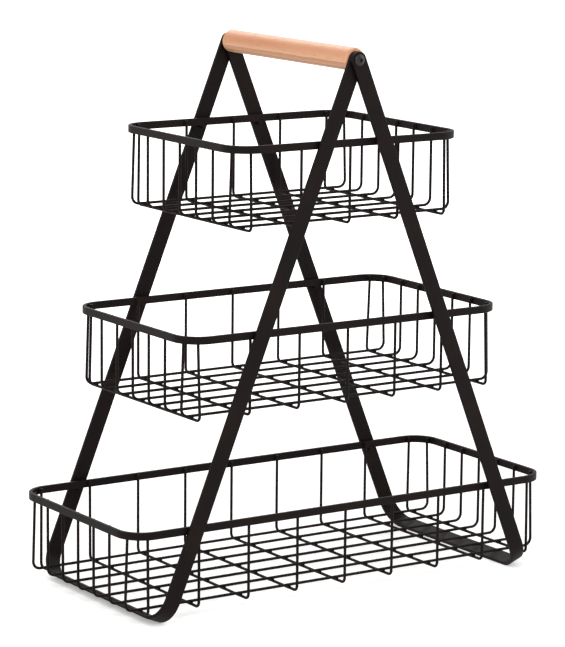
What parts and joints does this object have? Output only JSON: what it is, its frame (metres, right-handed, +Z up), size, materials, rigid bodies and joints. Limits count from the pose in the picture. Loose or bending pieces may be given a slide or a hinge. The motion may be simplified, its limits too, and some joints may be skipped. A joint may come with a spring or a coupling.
{
  "type": "tiered fruit basket stand",
  "caption": "Countertop fruit stand: tiered rectangular wire baskets in an A-frame of black flat bar under a wooden handle.",
  "frame": {"origin": "on the table, midway between the two frames and midway along the handle", "axes": "+Z up; X along the baskets' long sides; Y along the handle, with the front at -Y"},
  "size_m": [0.395, 0.192, 0.432],
  "materials": {
    "powder_coat": "satin",
    "screw_black": "satin",
    "dowel_wood": "matte",
    "insert_brass": "satin"
  },
  "bodies": {
    "stand": {"frame_left": "powder_coat", "frame_right": "powder_coat", "handle_dowel": "dowel_wood", "handle_inserts": "insert_brass", "handle_screws": "screw_black", "short_pegs_bottom": "powder_coat", "long_pegs_bottom": "powder_coat", "short_pegs_middle": "powder_coat", "long_pegs_middle": "powder_coat", "short_pegs_top": "powder_coat", "long_pegs_top": "powder_coat"},
    "basket_bottom": {"rim_bottom": "powder_coat", "cross_wires_bottom": "powder_coat", "long_wires_bottom": "powder_coat"},
    "basket_middle": {"rim_middle": "powder_coat", "cross_wires_middle": "powder_coat", "long_wires_middle": "powder_coat"},
    "basket_top": {"rim_top": "powder_coat", "cross_wires_top": "powder_coat", "long_wires_top": "powder_coat"}
  },
  "joints": [
    {"name": "lift_bottom", "type": "slide", "parent": "stand", "child": "basket_bottom", "axis": [0, 0, 1], "range_m": [0, 0.078]},
    {"name": "lift_middle", "type": "slide", "parent": "stand", "child": "basket_middle", "axis": [0, 0, 1], "range_m": [0, 0.0745]},
    {"name": "lift_top", "type": "slide", "parent": "stand", "child": "basket_top", "axis": [0, 0, 1], "range_m": [0, 0.0515]}
  ]
}
